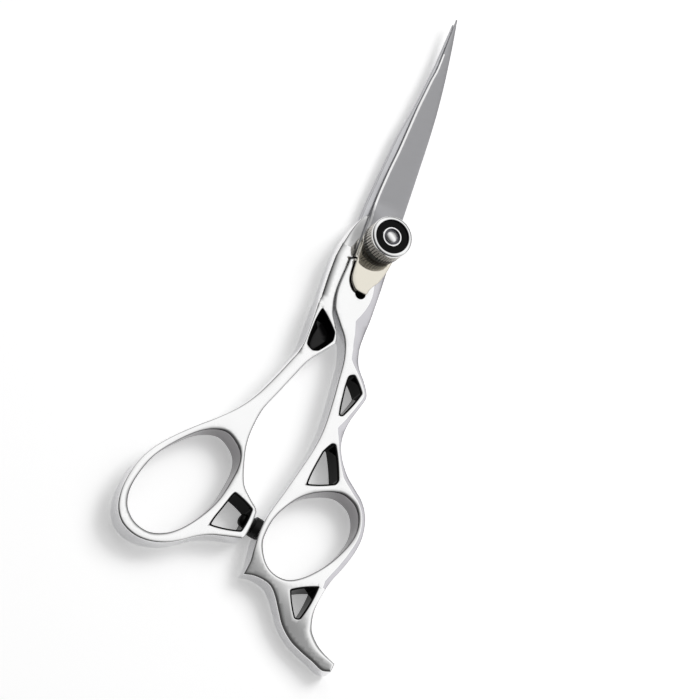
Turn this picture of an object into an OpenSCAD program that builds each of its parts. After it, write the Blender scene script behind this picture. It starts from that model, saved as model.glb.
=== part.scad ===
// Hair cutting shears: two crossed halves, a pivot with a turning tension adjuster, and a rubber stop.
// The shears lie flat on z = 0. The pivot axis is the Z axis and the blades point along +Y.
// The finger half carries the lower blade and the tang; the thumb half carries the upper blade.

/* [Handles] */
// Thickness of the handles, from the rest plane to the upper rims
handle_t = 6.6; // [6.4:0.1:7]
// Height of the floor of the blind pocket in the thumb handle
pocket_floor = 2.2; // [1.8:0.1:3]
// Thickness of the black lacquered lining in each window
lining_t = 0.35; // [0.3:0.05:0.5]
// Distance that a lining stays below the rims
lining_drop = 0.15; // [0.1:0.05:0.3]

/* [Blades] */
// Distance from the pivot axis to the tip of the upper blade
blade_len = 71; // [66:1:76]
// Thickness of each blade at its tip
tip_t = 1.3; // [1:0.1:1.8]
// Distance from the pivot axis at which the blades start to taper
taper_from = 10; // [9:1:14]
// Gap between the ride faces of the two blades
ride_gap = 0.05; // [0.04:0.01:0.08]

/* [Pivot] */
// Radius of the pivot screw's shaft
screw_r = 1.9; // [1.8:0.05:2]
// Radius of the pivot screw's head
screw_head_r = 3.6; // [3.4:0.1:3.8]
// Thickness of the pivot screw's head
screw_head_t = 1.2; // [1:0.1:1.4]
// Width of the slot in the screw's head
screw_slot_w = 0.8; // [0.6:0.1:1]
// Radial clearance of a piece that turns on the screw
running_clearance = 0.05; // [0.03:0.01:0.08]
// Radial clearance of a piece that is fixed to the screw
fixed_clearance = 0.02; // [0.01:0.01:0.03]
// Outer radius of the glide washer between the blades
glide_r = 3.1; // [2.8:0.1:3.2]
// Thickness of the glide washer
glide_t = 0.45; // [0.4:0.05:0.6]
// Thickness of the tail washer under the adjuster
tail_t = 1; // [0.8:0.1:1.2]
// Radius of the round pocket in the shank that the washer's key sits in
key_r = 1.45; // [1.2:0.05:1.6]

/* [Adjuster] */
// Outer radius of the adjuster
knob_r = 5.8; // [5.5:0.1:6]
// Height of the adjuster
knob_h = 7; // [6.4:0.1:7.4]
// Number of flutes around the adjuster
flute_count = 60; // [40:4:72]
// Outer radius of the black enamel ring
enamel_r = 4.7; // [4.5:0.1:4.9]
// Outer radius of the thin bright ring inside the enamel
inner_ring_r = 2.7; // [2.6:0.1:2.8]
// Radius of the domed centre cap
cap_r = 1.6; // [1.5:0.1:1.7]

/* [Stop] */
// Radius of the rubber stop
stop_r = 2.9; // [2.6:0.1:3]
// Radius of the stem that holds the rubber stop in its tab
stem_r = 1.2; // [1:0.1:1.4]

/* [Hidden] */
$fn = 96;

curve_steps = 5; // points on each stretch of a curve
corner_steps = 4; // points on each rounded corner
window_corner = 0.6; // where a window's rounded corner starts, from its sharp corner
lining_corner = 0.5; // the same for the hole in a window's lining
past = 1; // how far a cutter reaches past what it cuts
wide = 20; // half the width of a cutter that is wider than the shears at the pivot
touch = 0.02; // gap between pieces of the two halves that rest on each other
ride_z = handle_t / 2;
lower_top = ride_z - ride_gap / 2;
upper_bottom = ride_z + ride_gap / 2;
upper_top = handle_t - ride_gap;
lap_y = -9; // where each blade ends in its handle
neck_y = -4.5; // where the thumb handle's full depth starts, clear of the lower blade's swing

tail_z = handle_t; // underside of the tail washer
tail_top = tail_z + tail_t;
tail_disc_r = 5.5; // the tail washer's round end, under the adjuster
key_at = [-1, -15.7]; // centre of the key's pocket in the shank
key_depth = 1.6;
key_reach = 1; // how far the washer's key reaches into its pocket
key_clearance = 0.25;

knob_z = tail_top + ride_gap;
knob_top = knob_z + knob_h;
knob_chamfer = 0.5;
collar_h = 1.3; // plain band above the flutes
collar_step = 0.1; // how far the flutes' crests stay inside the plain band
flute_depth = 0.3;
well_r = 4.5; // hollow under the adjuster that holds the spring and the click plate
well_h = 2.2;
click_t = 0.7;
click_r = well_r - 0.3;
spring_sheet = 0.4; // thickness of the coned washer
spring_inner_r = 2.2;
spring_outer_r = 3.9;
face_drop = 0.4; // depth of the adjuster's face below its rim
face_t = 0.6; // thickness of the enamel in the adjuster's face
face_z = knob_top - face_drop - face_t;
insert_r = screw_r + 0.9; // outer radius of the threaded sleeve
inner_ring_w = 0.5;
inner_ring_rise = 0.15; // height of the bright ring above the enamel
recess_t = 0.15;
cap_h = 0.7; // height of the centre cap's dome
screw_top = face_z - 1.5;

// ---- Curves ----

function unit(v) = v / norm(v);
function turned(v) = [-v[1], v[0]];

// One stretch of a smooth curve from b to c, with a and d the points before and after.
function stretch(a, b, c, d, s) =
    0.5 * (2 * b + (c - a) * s + (2 * a - 5 * b + 4 * c - d) * s * s + (3 * b - a - 3 * c + d) * s * s * s);

// A smooth open curve through the points, its last point left off when it joins another.
function open_curve(p, keep_end = false) =
    let (last = len(p) - 1)
    concat(
        [for (i = [0:last - 1], k = [0:curve_steps - 1])
            stretch(p[max(i - 1, 0)], p[i], p[i + 1], p[min(i + 2, last)], k / curve_steps)],
        keep_end ? [p[last]] : []
    );

// A smooth closed curve through the points.
function loop_curve(p) =
    let (n = len(p))
    [for (i = [0:n - 1], k = [0:curve_steps - 1])
        stretch(p[(i + n - 1) % n], p[i], p[(i + 1) % n], p[(i + 2) % n], k / curve_steps)];

// The point up to a distance d along the edge from c to q, and no more than 0.4 of the way.
function along(c, q, d) = c + min(d, 0.4 * norm(q - c)) * unit(q - c);

// A polygon with each corner rounded off, starting a distance d before it.
function rounded(p, d) =
    let (n = len(p))
    [for (i = [0:n - 1], k = [0:corner_steps])
        let (
            a = along(p[i], p[(i + n - 1) % n], d),
            b = along(p[i], p[(i + 1) % n], d),
            s = k / corner_steps
        )
        (1 - s) * (1 - s) * a + 2 * s * (1 - s) * p[i] + s * s * b];

// A counter-clockwise polygon moved inwards by d.
function inset(p, d) =
    let (n = len(p))
    [for (i = [0:n - 1])
        let (
            u = turned(unit(p[i] - p[(i + n - 1) % n])),
            v = turned(unit(p[(i + 1) % n] - p[i]))
        )
        p[i] + d * (u + v) / (1 + u * v)];

// Points on a circle about the pivot, from one angle to another.
function pivot_arc(r, from, to, steps) =
    [for (i = [0:steps]) let (a = from + (to - from) * i / steps) r * [cos(a), sin(a)]];

// A round outline with evenly spaced grooves.
function fluted(r, depth, count) =
    [for (i = [0:count - 1], step = [[0, 0], [0.4, 0], [0.6, depth], [0.8, depth]])
        let (a = (i + step[0]) * 360 / count)
        (r - step[1]) * [cos(a), sin(a)]];

// ---- Outlines of the finger half, each named stretch running counter-clockwise ----

finger_lobe_r = 4.9; // round end of the lower blade, beside the raised shank
shank_corner = [4, -5];
shank_right = [shank_corner, [4.1, -9], [4.1, -16], [4.1, -22], [3.8, -27], [3.9, -31], [5.2, -35.2],
    [8.2, -39], [9.9, -42.2], [9.3, -45.4], [7.8, -50.5], [7.3, -55], [7.8, -58.8], [9.6, -62.4],
    [12.2, -65.6], [15.2, -68], [17.6, -69.8]];
ring_right = [[17.6, -69.8], [19.6, -72.4], [21, -76], [21.5, -80.6], [20.8, -85.2], [19.2, -90.3],
    [17.2, -95.4], [16.2, -99.8], [15.7, -104], [16.1, -107.2], [17.3, -110.2], [19.8, -112.8],
    [22.6, -114.6], [26, -116.1]];
tang_left = [[25.7, -118.6], [23.2, -119.2], [20, -118], [16.4, -116.8], [12.6, -115.1], [9, -112.2],
    [6.2, -108.4], [4.2, -105.6], [2.2, -103.6], [-0.1, -102.8], [-3, -102.7], [-5.8, -103.4]];
ring_left = [[-5.8, -103.4], [-5.4, -99.6], [-5.7, -96.4], [-5.9, -92], [-5.6, -88], [-4.8, -84],
    [-3.1, -78], [-1, -70], [0.8, -62.5], [1.6, -56], [1.5, -48], [1.1, -41.4], [0.8, -36.4],
    [0.1, -32.8], [-1.2, -29.4], [-3.8, -26], [-6.1, -23], [-6.8, -21]];
finger_hole = [[-4, -90.2], [-3.9, -93.2], [-2.2, -96.8], [0.2, -99.2], [3.4, -100.2], [6.7, -99.6],
    [10.4, -96.8], [14.2, -92.2], [16.8, -87.8], [18.8, -83], [19.5, -79], [18.9, -75.5], [17.3, -72.8],
    [15, -71.4], [12.2, -70.9], [8.5, -72], [4.1, -74.7], [1.1, -77.7], [-1.5, -81.8], [-3.3, -86]];

// The tail washer, from its round end down its left side and back up its right
tail = [[-5.3, -1.4], [-5.3, -6], [-5.2, -11], [-4.7, -13.4], [-3.6, -14.9], [-2.5, -15.6], [0.2, -15.6],
    [0.8, -14], [1.5, -12.5], [2.6, -10.7], [3.6, -7.6], [4.4, -3.2]];

// Slot in the shank along the tail washer's left side, which runs into the key's round pocket
washer_slot = [[-5.6, -7.6], [-5.5, -10.9], [-4.95, -13.5], [-3.85, -15.15], [-2.4, -15.95], [-1.5, -15.7],
    [-2.3, -15.2], [-3.3, -14.4], [-4.2, -13], [-4.8, -10.8], [-4.9, -7.4]];

// Step where the raised shank clears the thumb half: an arc about the pivot, then a slope to the seam.
step_r = 4.95;
step_wall = concat([[-6.8, -7.5], [-3.2, -5.95]], pivot_arc(step_r, 258, 309, 8), [shank_corner]);
seam_x = -6.8;

shank_window = [[3.4, -42.5], [4.4, -50.6], [5.6, -50.1], [8.6, -41.9], [4.9, -37.8], [3.4, -38.7]];
ring_window = [[5, -58.8], [3.4, -62], [2, -73], [9.9, -69.2], [10.3, -67.8], [6.2, -58.6]];
tang_window = [[7.3, -102.3], [11.2, -109.2], [12.8, -108.9], [14.7, -98]];

// ---- Outlines of the thumb half ----

thumb_lobe_r = 4.6; // round end of the upper blade, inside the raised shank's step
bar_left_x = -11.3;
bar_seam_x = -7.05;
neck_left = [[-5.7, 7.4], [-7.7, 4], [-9.4, 0], [-10.8, -5], [bar_left_x, lap_y]];
neck_root = [[bar_left_x, lap_y], [bar_seam_x, lap_y], [bar_seam_x, neck_y], [-10.7, neck_y]];
thumb_ring_out = [[bar_left_x, lap_y], [-11.4, -14], [-11.3, -22], [-11.2, -30], [-11.5, -36], [-13.4, -41.4],
    [-16.4, -48.8], [-19.6, -55.6], [-22.8, -60.8], [-26.8, -65.6], [-31.8, -70.6], [-36.6, -75.8],
    [-40.8, -81.2], [-43.6, -86.4], [-45.2, -91.8], [-45.8, -97.4], [-45, -102.2], [-42.6, -105.6],
    [-38.6, -107.3], [-34.2, -107.2], [-29.6, -105.6], [-25.7, -103.1], [-22.2, -100.3], [-18.8, -98.2],
    [-15.3, -96.8], [-9.9, -95]];
thumb_tab = [[-9.9, -95], [-9.1, -93.6], [-8.5, -89.6], [-8.4, -86.2]];
thumb_shank_in = [[-8.4, -86.2], [-9.2, -85], [-11.4, -83.2], [-14.2, -80.2], [-16.2, -74], [-17.1, -68.8],
    [-16.9, -63.4], [-15.9, -58], [-13.7, -52.4], [-11.5, -47], [-8.8, -40.4], [-6, -36], [-2.9, -31.8]];
thumb_web = [[-2.9, -31.8], [-3.3, -29.8], [-4.7, -27], [-6.3, -24.4], [-7.05, -22]];
thumb_hole = [[-20.2, -70.4], [-23.6, -68.9], [-27.6, -70], [-31.4, -72.7], [-35.8, -77.6], [-40, -83.7],
    [-42.4, -90.1], [-43.4, -95.6], [-42.8, -99.8], [-41, -102.4], [-38.3, -104.1], [-34.5, -104.5],
    [-30.5, -102.9], [-27, -100], [-23.7, -95.8], [-20.8, -90.8], [-19.1, -86.6], [-17.9, -81.2],
    [-17.3, -76.5], [-17.9, -73]];
web_pocket = [[-9.7, -24], [-10.4, -28], [-10.5, -35.6], [-8.5, -36.6], [-6.8, -35.9], [-3.9, -31.6],
    [-4.2, -29]];
tab_window = [[-16, -83.6], [-17.4, -87.6], [-19.8, -95.6], [-10.6, -93.3], [-9.7, -86]];

// The two cutting edges and spines, from the pivot to the tip.
drawn_len = 71; // length of the upper blade at which the outlines below are given
function toward_tip(p) = [for (q = p) [q[0], q[1] * blade_len / drawn_len]];
thumb_spine = toward_tip([[3.4, 3.1], [3.5, 12], [3.5, 24], [3.4, 37], [2.8, 49], [1.7, 61], [0.5, 71]]);
thumb_edge = toward_tip([[0.2, 71], [0.1, 57], [-0.7, 50.5], [-1.8, 40.5], [-2.9, 29], [-3.7, 22],
    [-4.3, 15.4], [-4.9, 8.6]]);
finger_edge = toward_tip([[3, 8], [2.7, 16], [2.4, 26], [2.1, 37], [1.5, 49], [0.8, 60], [0.1, 69.4]]);
finger_spine = toward_tip([[-0.2, 69.4], [-0.9, 58.4], [-1.5, 52.2], [-2.7, 42.4], [-4.2, 34], [-5, 27],
    [-5.9, 17.5], [-6.6, 8.6], [-6.7, 2]]);

stop_axis_deg = -7; // direction of the stop's axis in plan
stop_seat = [-8.75, -89]; // on the stop's axis, just inside the tab's wall
stop_len = 2.45;
tab_wall = 1.75; // from the stop's seat to the far side of the lining in the tab's window
barb_h = 1.1;
barb_r = [1.3, 1.8];

// ---- Shared modules ----

module prism(points, from, to) {
    translate([0, 0, from]) linear_extrude(to - from) polygon(points);
}

module ring(outer, inner, from, to) {
    translate([0, 0, from]) difference() {
        cylinder(r = outer, h = to - from);
        translate([0, 0, -past]) cylinder(r = inner, h = to - from + 2 * past);
    }
}

module screw_hole(clearance, from, to) {
    translate([0, 0, from]) cylinder(r = screw_r + clearance, h = to - from);
}

// A through window with its corners rounded.
module window_cut(points) {
    prism(rounded(points, window_corner), -past, handle_t + past);
}

// A black lining on the walls of a window.
module window_lining(points) {
    color([0.03, 0.03, 0.035]) difference() {
        prism(rounded(points, window_corner), lining_drop, handle_t - lining_drop);
        prism(rounded(inset(points, lining_t), lining_corner), -past, handle_t + past);
    }
}

// A wedge that thins a blade from taper_from to the tip; side is 1 above the blade and -1 below it.
module taper_cut(face_z, thin, side) {
    run = blade_len - taper_from;
    translate([0, taper_from, face_z]) rotate([-side * atan(thin / run), 0, 0])
        translate([-wide, 0, side > 0 ? 0 : -wide]) cube([2 * wide, 2 * run, wide]);
}

// ---- Finger half ----

module finger_blade() {
    outline = concat(
        pivot_arc(finger_lobe_r, 318, 380, 6),
        open_curve(finger_edge, true),
        open_curve(finger_spine, true),
        [[seam_x, neck_y], [seam_x, lap_y], [shank_right[1][0], lap_y], shank_corner]
    );
    color([0.78, 0.78, 0.8]) difference() {
        prism(outline, 0, lower_top);
        taper_cut(0, lower_top - tip_t, -1);
        screw_hole(fixed_clearance, -past, handle_t);
        translate([0, 0, -past]) cylinder(r = screw_head_r + fixed_clearance, h = screw_head_t + past);
        translate([0, 0, lower_top - glide_t + touch]) cylinder(r = glide_r + fixed_clearance, h = glide_t);
    }
}

module finger_handle() {
    outline = concat(
        open_curve(shank_right),
        open_curve(ring_right, true),
        open_curve(tang_left),
        open_curve(ring_left, true)
    );
    color([0.86, 0.86, 0.87]) difference() {
        prism(concat(step_wall, outline), 0, handle_t);
        // Lap for the blade
        translate([-wide, lap_y, -past]) cube([2 * wide, wide, lower_top + past]);
        prism(loop_curve(finger_hole), -past, handle_t + past);
        window_cut(shank_window);
        window_cut(ring_window);
        window_cut(tang_window);
        washer_recess(0, handle_t - key_depth, handle_t + past);
    }
}

// The round pocket and the slot that runs into it, made smaller all round by a margin.
module washer_recess(margin, from, to) {
    prism(inset(washer_slot, margin), from, to);
    translate([key_at[0], key_at[1], from]) cylinder(r = key_r - margin, h = to - from);
}

module shank_window_lining() {
    window_lining(shank_window);
}

module ring_window_lining() {
    window_lining(ring_window);
}

module tang_window_lining() {
    window_lining(tang_window);
}

module pivot_screw() {
    color([0.7, 0.7, 0.72]) difference() {
        union() {
            cylinder(r = screw_head_r, h = screw_head_t);
            cylinder(r = screw_r, h = screw_top);
        }
        translate([-screw_slot_w / 2, -screw_head_r - past, -past])
            cube([screw_slot_w, 2 * (screw_head_r + past), past + screw_head_t / 2]);
    }
}

module glide_washer() {
    color([0.93, 0.93, 0.9])
        ring(glide_r, screw_r + fixed_clearance, lower_top - glide_t + touch, lower_top + touch);
}

// A thin black coat on the floor and the walls of the washer's slot and round pocket.
module slot_lining() {
    coat = 0.12;
    color([0.03, 0.03, 0.035]) difference() {
        washer_recess(0, handle_t - key_depth, handle_t - lining_drop / 2);
        washer_recess(coat, handle_t - key_depth + coat, handle_t + past);
    }
}

// The washer's tail lies on the shank, and a half-round key under its nose stops it turning.
module tail_washer() {
    color([0.9, 0.89, 0.85]) difference() {
        union() {
            prism(open_curve(tail, true), tail_z, tail_top);
            translate([0, 0, tail_z]) cylinder(r = tail_disc_r, h = tail_t);
            intersection() {
                translate([key_at[0], key_at[1], tail_z - key_reach])
                    cylinder(r = key_r - key_clearance, h = key_reach + tail_t);
                translate([key_at[0] - wide, key_at[1] + 0.1, 0]) cube([2 * wide, wide, tail_top]);
            }
        }
        screw_hole(fixed_clearance, tail_z - past, tail_top + past);
    }
}

// Fixed to the screw inside the adjuster's well.
module click_plate() {
    color([0.6, 0.6, 0.62])
        ring(click_r, screw_r + fixed_clearance, tail_top, tail_top + click_t);
}

// A coned washer that pushes the adjuster up against its thread.
module disc_spring() {
    low = tail_top + click_t;
    high = knob_z + well_h - ride_gap;
    color([0.45, 0.45, 0.47]) rotate_extrude() polygon([
        [spring_inner_r, high - spring_sheet], [spring_outer_r, low],
        [spring_outer_r, low + spring_sheet], [spring_inner_r, high]
    ]);
}

// ---- Thumb half ----

module thumb_blade() {
    outline = concat(
        open_curve(thumb_spine, true),
        open_curve(thumb_edge, true),
        open_curve(neck_left, true),
        [[bar_seam_x, lap_y], [bar_seam_x, -7.3], [-3.2, -5.6]],
        pivot_arc(thumb_lobe_r, 262, 404, 16)
    );
    color([0.72, 0.72, 0.74]) difference() {
        prism(outline, upper_bottom, upper_top);
        taper_cut(upper_top, upper_top - upper_bottom - tip_t, 1);
        screw_hole(running_clearance, 0, handle_t + past);
    }
}

module thumb_handle() {
    outline = concat(
        open_curve(thumb_ring_out),
        open_curve(thumb_tab),
        open_curve(thumb_shank_in),
        open_curve(thumb_web, true),
        [[bar_seam_x, lap_y]]
    );
    color([0.86, 0.86, 0.87]) difference() {
        union() {
            prism(outline, 0, handle_t);
            prism(neck_root, 0, upper_bottom);
        }
        prism(loop_curve(thumb_hole), -past, handle_t + past);
        prism(rounded(web_pocket, window_corner), pocket_floor, handle_t + past);
        window_cut(tab_window);
        stop_bore();
    }
}

module stop_place() {
    translate([stop_seat[0], stop_seat[1], ride_z])
        rotate([0, 0, stop_axis_deg]) rotate([0, 90, 0]) children();
}

module stop_bore() {
    stop_place() translate([0, 0, -tab_wall - past])
        cylinder(r = stem_r + fixed_clearance, h = tab_wall + 2 * past);
}

// A lacquered cup in the blind pocket where the thumb shank meets the seam.
module pocket_enamel() {
    color([0.03, 0.03, 0.035]) difference() {
        prism(rounded(web_pocket, window_corner), pocket_floor, handle_t - lining_drop);
        prism(rounded(inset(web_pocket, lining_t), lining_corner), pocket_floor + lining_t, handle_t + past);
    }
}

module tab_window_lining() {
    difference() {
        window_lining(tab_window);
        stop_bore();
    }
}

// The stop reaches the finger ring's wall when the shears are closed.
module rubber_stop() {
    color([0.05, 0.05, 0.05]) difference() {
        intersection() {
            stop_place() cylinder(r = stop_r, h = stop_len + past);
            translate([-wide, stop_seat[1] - wide, 0]) cube([2 * wide, 2 * wide, handle_t]);
        }
        prism(concat(open_curve(thumb_tab, true), [[-wide, -86.2], [-wide, -95]]), -past, handle_t + past);
        stop_place() translate([0, 0, -past]) cylinder(r = stem_r + fixed_clearance, h = stop_len);
        stop_clearance();
    }
}

// Keeps the stop's face just clear of the finger ring.
module stop_clearance() {
    face = [for (q = open_curve(ring_left, true)) if (abs(q[1] - stop_seat[1]) < 2 * stop_r) q - [touch, 0]];
    prism(concat(face, [[0, face[len(face) - 1][1]], [0, face[0][1]]]), -past, handle_t + past);
}

module stop_stem() {
    inside = 1.25; // how far the stem reaches into the rubber
    color([0.05, 0.05, 0.05]) stop_place() union() {
        translate([0, 0, -tab_wall]) cylinder(r = stem_r, h = tab_wall + inside);
        // Barb inside the tab's window
        translate([0, 0, -tab_wall - barb_h]) cylinder(r1 = barb_r[0], r2 = barb_r[1], h = barb_h);
    }
}

// ---- Adjuster ----

module knob_barrel() {
    collar_z = knob_top - collar_h;
    core_r = knob_r - 2 * flute_depth;
    color([0.8, 0.8, 0.8]) difference() {
        union() {
            rotate_extrude() polygon([
                [0, knob_z], [core_r, knob_z], [core_r, collar_z], [knob_r, collar_z],
                [knob_r, knob_top - knob_chamfer], [knob_r - knob_chamfer, knob_top], [0, knob_top]
            ]);
            prism(
                fluted(knob_r - collar_step, flute_depth, flute_count),
                knob_z + knob_chamfer / 2, collar_z
            );
        }
        translate([0, 0, knob_z - past]) cylinder(r = well_r, h = well_h + past);
        translate([0, 0, knob_z]) cylinder(r = insert_r, h = knob_h);
        translate([0, 0, face_z]) cylinder(r = enamel_r, h = knob_top - face_z + past);
    }
}

// The threaded sleeve that turns on the screw.
module knob_insert() {
    color([0.75, 0.68, 0.45])
        ring(insert_r, screw_r + running_clearance, knob_z + well_h, face_z);
}

module knob_enamel() {
    color([0.03, 0.03, 0.035])
        ring(enamel_r, inner_ring_r, face_z, face_z + face_t);
}

module knob_inner_ring() {
    color([0.9, 0.9, 0.9])
        ring(inner_ring_r, inner_ring_r - inner_ring_w, face_z, face_z + face_t + inner_ring_rise);
}

module knob_recess() {
    color([0.2, 0.2, 0.22])
        translate([0, 0, face_z]) cylinder(r = inner_ring_r - inner_ring_w, h = recess_t);
}

module knob_cap() {
    base = face_z + recess_t;
    dome_r = (cap_r * cap_r + cap_h * cap_h) / (2 * cap_h);
    color([0.9, 0.9, 0.9]) intersection() {
        translate([0, 0, base + cap_h - dome_r]) sphere(r = dome_r);
        translate([0, 0, base]) cylinder(r = cap_r, h = cap_h + past);
    }
}

finger_blade();
finger_handle();
shank_window_lining();
ring_window_lining();
tang_window_lining();
slot_lining();
pivot_screw();
glide_washer();
tail_washer();
click_plate();
disc_spring();
thumb_blade();
thumb_handle();
pocket_enamel();
tab_window_lining();
rubber_stop();
stop_stem();
knob_barrel();
knob_insert();
knob_enamel();
knob_inner_ring();
knob_recess();
knob_cap();
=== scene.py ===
"""Hair cutting shears: polished handles, ground blades, lacquered windows and a turning adjuster.

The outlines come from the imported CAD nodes. Lengths in this script are millimetres, and MM turns
them into metres where a mesh is made.
"""
import math

import bmesh
import bpy
import numpy as np
from mathutils import Matrix, Vector
from mathutils.geometry import delaunay_2d_cdt

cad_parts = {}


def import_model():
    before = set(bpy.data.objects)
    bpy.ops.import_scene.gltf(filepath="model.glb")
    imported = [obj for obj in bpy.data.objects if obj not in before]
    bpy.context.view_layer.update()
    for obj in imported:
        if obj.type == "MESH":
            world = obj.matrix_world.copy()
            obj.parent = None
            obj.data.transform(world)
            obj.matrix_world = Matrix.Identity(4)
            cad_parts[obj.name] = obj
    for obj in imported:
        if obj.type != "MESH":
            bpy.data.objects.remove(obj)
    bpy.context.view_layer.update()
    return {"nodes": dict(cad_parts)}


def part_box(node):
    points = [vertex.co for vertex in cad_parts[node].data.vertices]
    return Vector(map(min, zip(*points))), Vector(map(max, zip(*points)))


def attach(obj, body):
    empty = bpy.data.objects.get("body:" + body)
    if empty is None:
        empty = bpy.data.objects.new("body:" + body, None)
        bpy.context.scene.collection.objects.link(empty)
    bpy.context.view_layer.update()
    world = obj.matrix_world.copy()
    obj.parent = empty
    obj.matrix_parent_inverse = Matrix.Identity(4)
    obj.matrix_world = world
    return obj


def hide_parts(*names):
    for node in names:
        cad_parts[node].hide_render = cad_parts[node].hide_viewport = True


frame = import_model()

MM = 0.001


def box_mm(node):
    """A CAD node's lowest and highest corners."""
    low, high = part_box(node)
    return np.array(low) / MM, np.array(high) / MM


HANDLE_TOP = box_mm("finger_handle")[1][2]
LOWER_TOP = box_mm("finger_blade")[1][2]
UPPER_BOTTOM, UPPER_TOP = box_mm("thumb_blade")[0][2], box_mm("thumb_blade")[1][2]
BLADE_LEN = box_mm("thumb_blade")[1][1]
WASHER_TOP = box_mm("tail_washer")[1][2]
KNOB_LOW, KNOB_HIGH = box_mm("knob_barrel")
ENAMEL_R, ENAMEL_TOP = box_mm("knob_enamel")[1][0], box_mm("knob_enamel")[1][2]
LINING_TOP = box_mm("ring_window_lining")[1][2]
SLOT_FLOOR = box_mm("slot_lining")[0][2]
POCKET_FLOOR = box_mm("pocket_enamel")[0][2]
NECK_Y = -4.5  # where the thumb handle's own mesh ends and the neck's begins
SEAM_X = -7.05  # the seam between the two shanks
CHOIL_Y = 7.5  # where the cutting edge starts
LOBE_END_Y = -7.3  # where the upper blade's lobe meets the seam
TAPER_FROM = 10  # the blades thin from here to the point
TIP_T = 1.3

RING_AREA = 200  # square millimetres: only the holes for the fingers are larger
SHARP_DEG = 33  # edges that bend more than this stay crisp
THIN_WALL_SHARE = 0.46  # of a thin wall's width, what the rounding on one side may take
AMPLE = 99.0
BATCH = 2000  # points handled at once, to keep the arrays small
SAME_LEVEL = 1e-6  # metres
STEPS_PER_MM = 1000  # corners that agree to a thousandth are the same corner

TILT = math.radians(28)  # of the view from straight down
UP_IN_IMAGE = math.radians(35.5)  # direction in which the rest plane's normal points in the picture
UP_IN_PLAN = math.radians(57.8)  # the same direction in plan, from +X
PLAN_UP = np.array([math.cos(UP_IN_PLAN), math.sin(UP_IN_PLAN)])


# ---- Outlines taken from the frame ----

def rims(node, height):
    """The closed rims of a CAD node's flat face at a height, the outermost first and running
    counter-clockwise, and the holes clockwise, so that the material is always on the left."""
    mesh = frame["nodes"][node].data
    level = height * MM
    key = [tuple(round(c / MM * STEPS_PER_MM) for c in v.co[:2]) for v in mesh.vertices]
    uses = {}
    for face in mesh.polygons:
        if all(abs(mesh.vertices[i].co.z - level) < SAME_LEVEL for i in face.vertices):
            corners = [key[i] for i in face.vertices]
            for a, b in zip(corners, corners[1:] + corners[:1]):
                uses[frozenset((a, b))] = uses.get(frozenset((a, b)), 0) + 1
    links = {}
    for edge, count in uses.items():
        if count == 1 and len(edge) == 2:
            a, b = edge
            links.setdefault(a, []).append(b)
            links.setdefault(b, []).append(a)
    loops = []
    while links:
        start = min(links)
        loop, last, here = [start], None, start
        while True:
            onward = [q for q in links[here] if q != last]
            last, here = here, onward[0]
            if here == start:
                break
            loop.append(here)
        for q in loop:
            links.pop(q, None)
        loops.append(np.array(loop) / STEPS_PER_MM)
    loops.sort(key=lambda p: -abs(area(p)))
    return [turn(p, i == 0) for i, p in enumerate(loops)]


def area(p):
    """The area inside a closed curve, negative where it runs clockwise."""
    q = np.roll(p, -1, axis=0)
    return float(np.sum(p[:, 0] * q[:, 1] - q[:, 0] * p[:, 1])) / 2


def turn(p, anticlockwise):
    """The same closed curve, running the way that is asked for."""
    return p if (area(p) > 0) == anticlockwise else p[::-1]


def unit(v):
    """The same directions, one long."""
    return v / np.maximum(np.linalg.norm(v, axis=-1, keepdims=True), 1e-9)


def refine(p, spacing=0.4, corner_deg=24):
    """A smooth closed curve through a rim's points, with its sharp corners kept."""
    before, after = p - np.roll(p, 1, axis=0), np.roll(p, -1, axis=0) - p
    h0, h1 = np.linalg.norm(before, axis=1), np.linalg.norm(after, axis=1)
    u0, u1 = before / h0[:, None], after / h1[:, None]
    smooth = np.sum(u0 * u1, axis=1) > math.cos(math.radians(corner_deg))
    slope = (u0 * h1[:, None] + u1 * h0[:, None]) / (h0 + h1)[:, None]
    out = []
    for i in range(len(p)):
        j = (i + 1) % len(p)
        m0 = slope[i] if smooth[i] else u1[i]
        m1 = slope[j] if smooth[j] else u1[i]
        steps = max(1, math.ceil(h1[i] / spacing))
        for s in np.arange(steps) / steps:
            out.append(
                (2 * s**3 - 3 * s**2 + 1) * p[i] + (s**3 - 2 * s**2 + s) * h1[i] * m0
                + (3 * s**2 - 2 * s**3) * p[j] + (s**3 - s**2) * h1[i] * m1
            )
    return np.array(out)


# ---- Slabs: solids of an outline whose rims are shaped by a rounding ----

TOP, BOTTOM = 0, 2  # where a face's reach and height stand in what a rim's shape gives


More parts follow.
